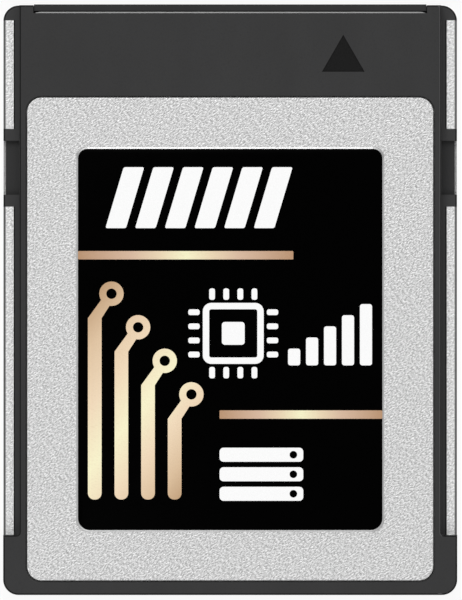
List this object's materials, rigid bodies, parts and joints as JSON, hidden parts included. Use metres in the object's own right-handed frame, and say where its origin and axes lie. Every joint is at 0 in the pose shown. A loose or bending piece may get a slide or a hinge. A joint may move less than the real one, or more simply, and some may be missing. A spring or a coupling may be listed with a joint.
{
  "type": "memory card",
  "caption": "Flat rectangular memory card with stepped guide rails, folded metal covers, a slotted contact end and a dark label.",
  "frame": {"origin": "middle of the card's underside, lying on its bottom cover", "axes": "+X across the card, +Y towards the contact end, +Z out of the label side"},
  "size_m": [0.0296, 0.0384, 0.0038],
  "materials": {
    "frame_plastic": "fine matt",
    "cover_metal": "fine blasted grain",
    "label_black": "satin film",
    "gold_foil": "satin foil",
    "white_ink": "printed ink",
    "board_laminate": "solder mask",
    "connector_plastic": "moulded",
    "contact_gold": "plated",
    "chip_resin": "moulded",
    "ferrite": "fired",
    "capacitor_ceramic": "fired",
    "resistor_ceramic": "glazed",
    "can_metal": "plated",
    "thermal_gel": "soft"
  },
  "bodies": {
    "root": {"bottom_cover": "cover_metal", "cache_chip": "chip_resin", "capacitor_1": "capacitor_ceramic", "capacitor_2": "capacitor_ceramic", "capacitor_3": "capacitor_ceramic", "capacitor_4": "capacitor_ceramic", "capacitor_5": "capacitor_ceramic", "capacitor_6": "capacitor_ceramic", "capacitor_7": "capacitor_ceramic", "capacitor_8": "capacitor_ceramic", "circuit_board": "board_laminate", "connector_housing": "connector_plastic", "contact_01": "contact_gold", "contact_02": "contact_gold", "contact_03": "contact_gold", "contact_04": "contact_gold", "contact_05": "contact_gold", "contact_06": "contact_gold", "contact_07": "contact_gold", "contact_08": "contact_gold", "contact_09": "contact_gold", "contact_10": "contact_gold", "contact_11": "contact_gold", "contact_12": "contact_gold", "contact_13": "contact_gold", "contact_14": "contact_gold", "contact_15": "contact_gold", "contact_16": "contact_gold", "contact_17": "contact_gold", "contact_18": "contact_gold", "contact_19": "contact_gold", "contact_20": "contact_gold", "controller_chip": "chip_resin", "crystal": "can_metal", "flash_chip_1": "chip_resin", "flash_chip_2": "chip_resin", "flash_chip_3": "chip_resin", "flash_chip_4": "chip_resin", "frame": "frame_plastic", "inductor_1": "ferrite", "inductor_2": "ferrite", "inductor_3": "ferrite", "label": "label_black", "label_gold_foil": "gold_foil", "label_white_print": "white_ink", "lower_thermal_pad": "thermal_gel", "power_chip": "chip_resin", "resistor_1": "resistor_ceramic", "resistor_2": "resistor_ceramic", "resistor_3": "resistor_ceramic", "resistor_4": "resistor_ceramic", "top_cover": "cover_metal", "upper_thermal_pad": "thermal_gel"}
  },
  "joints": []
}
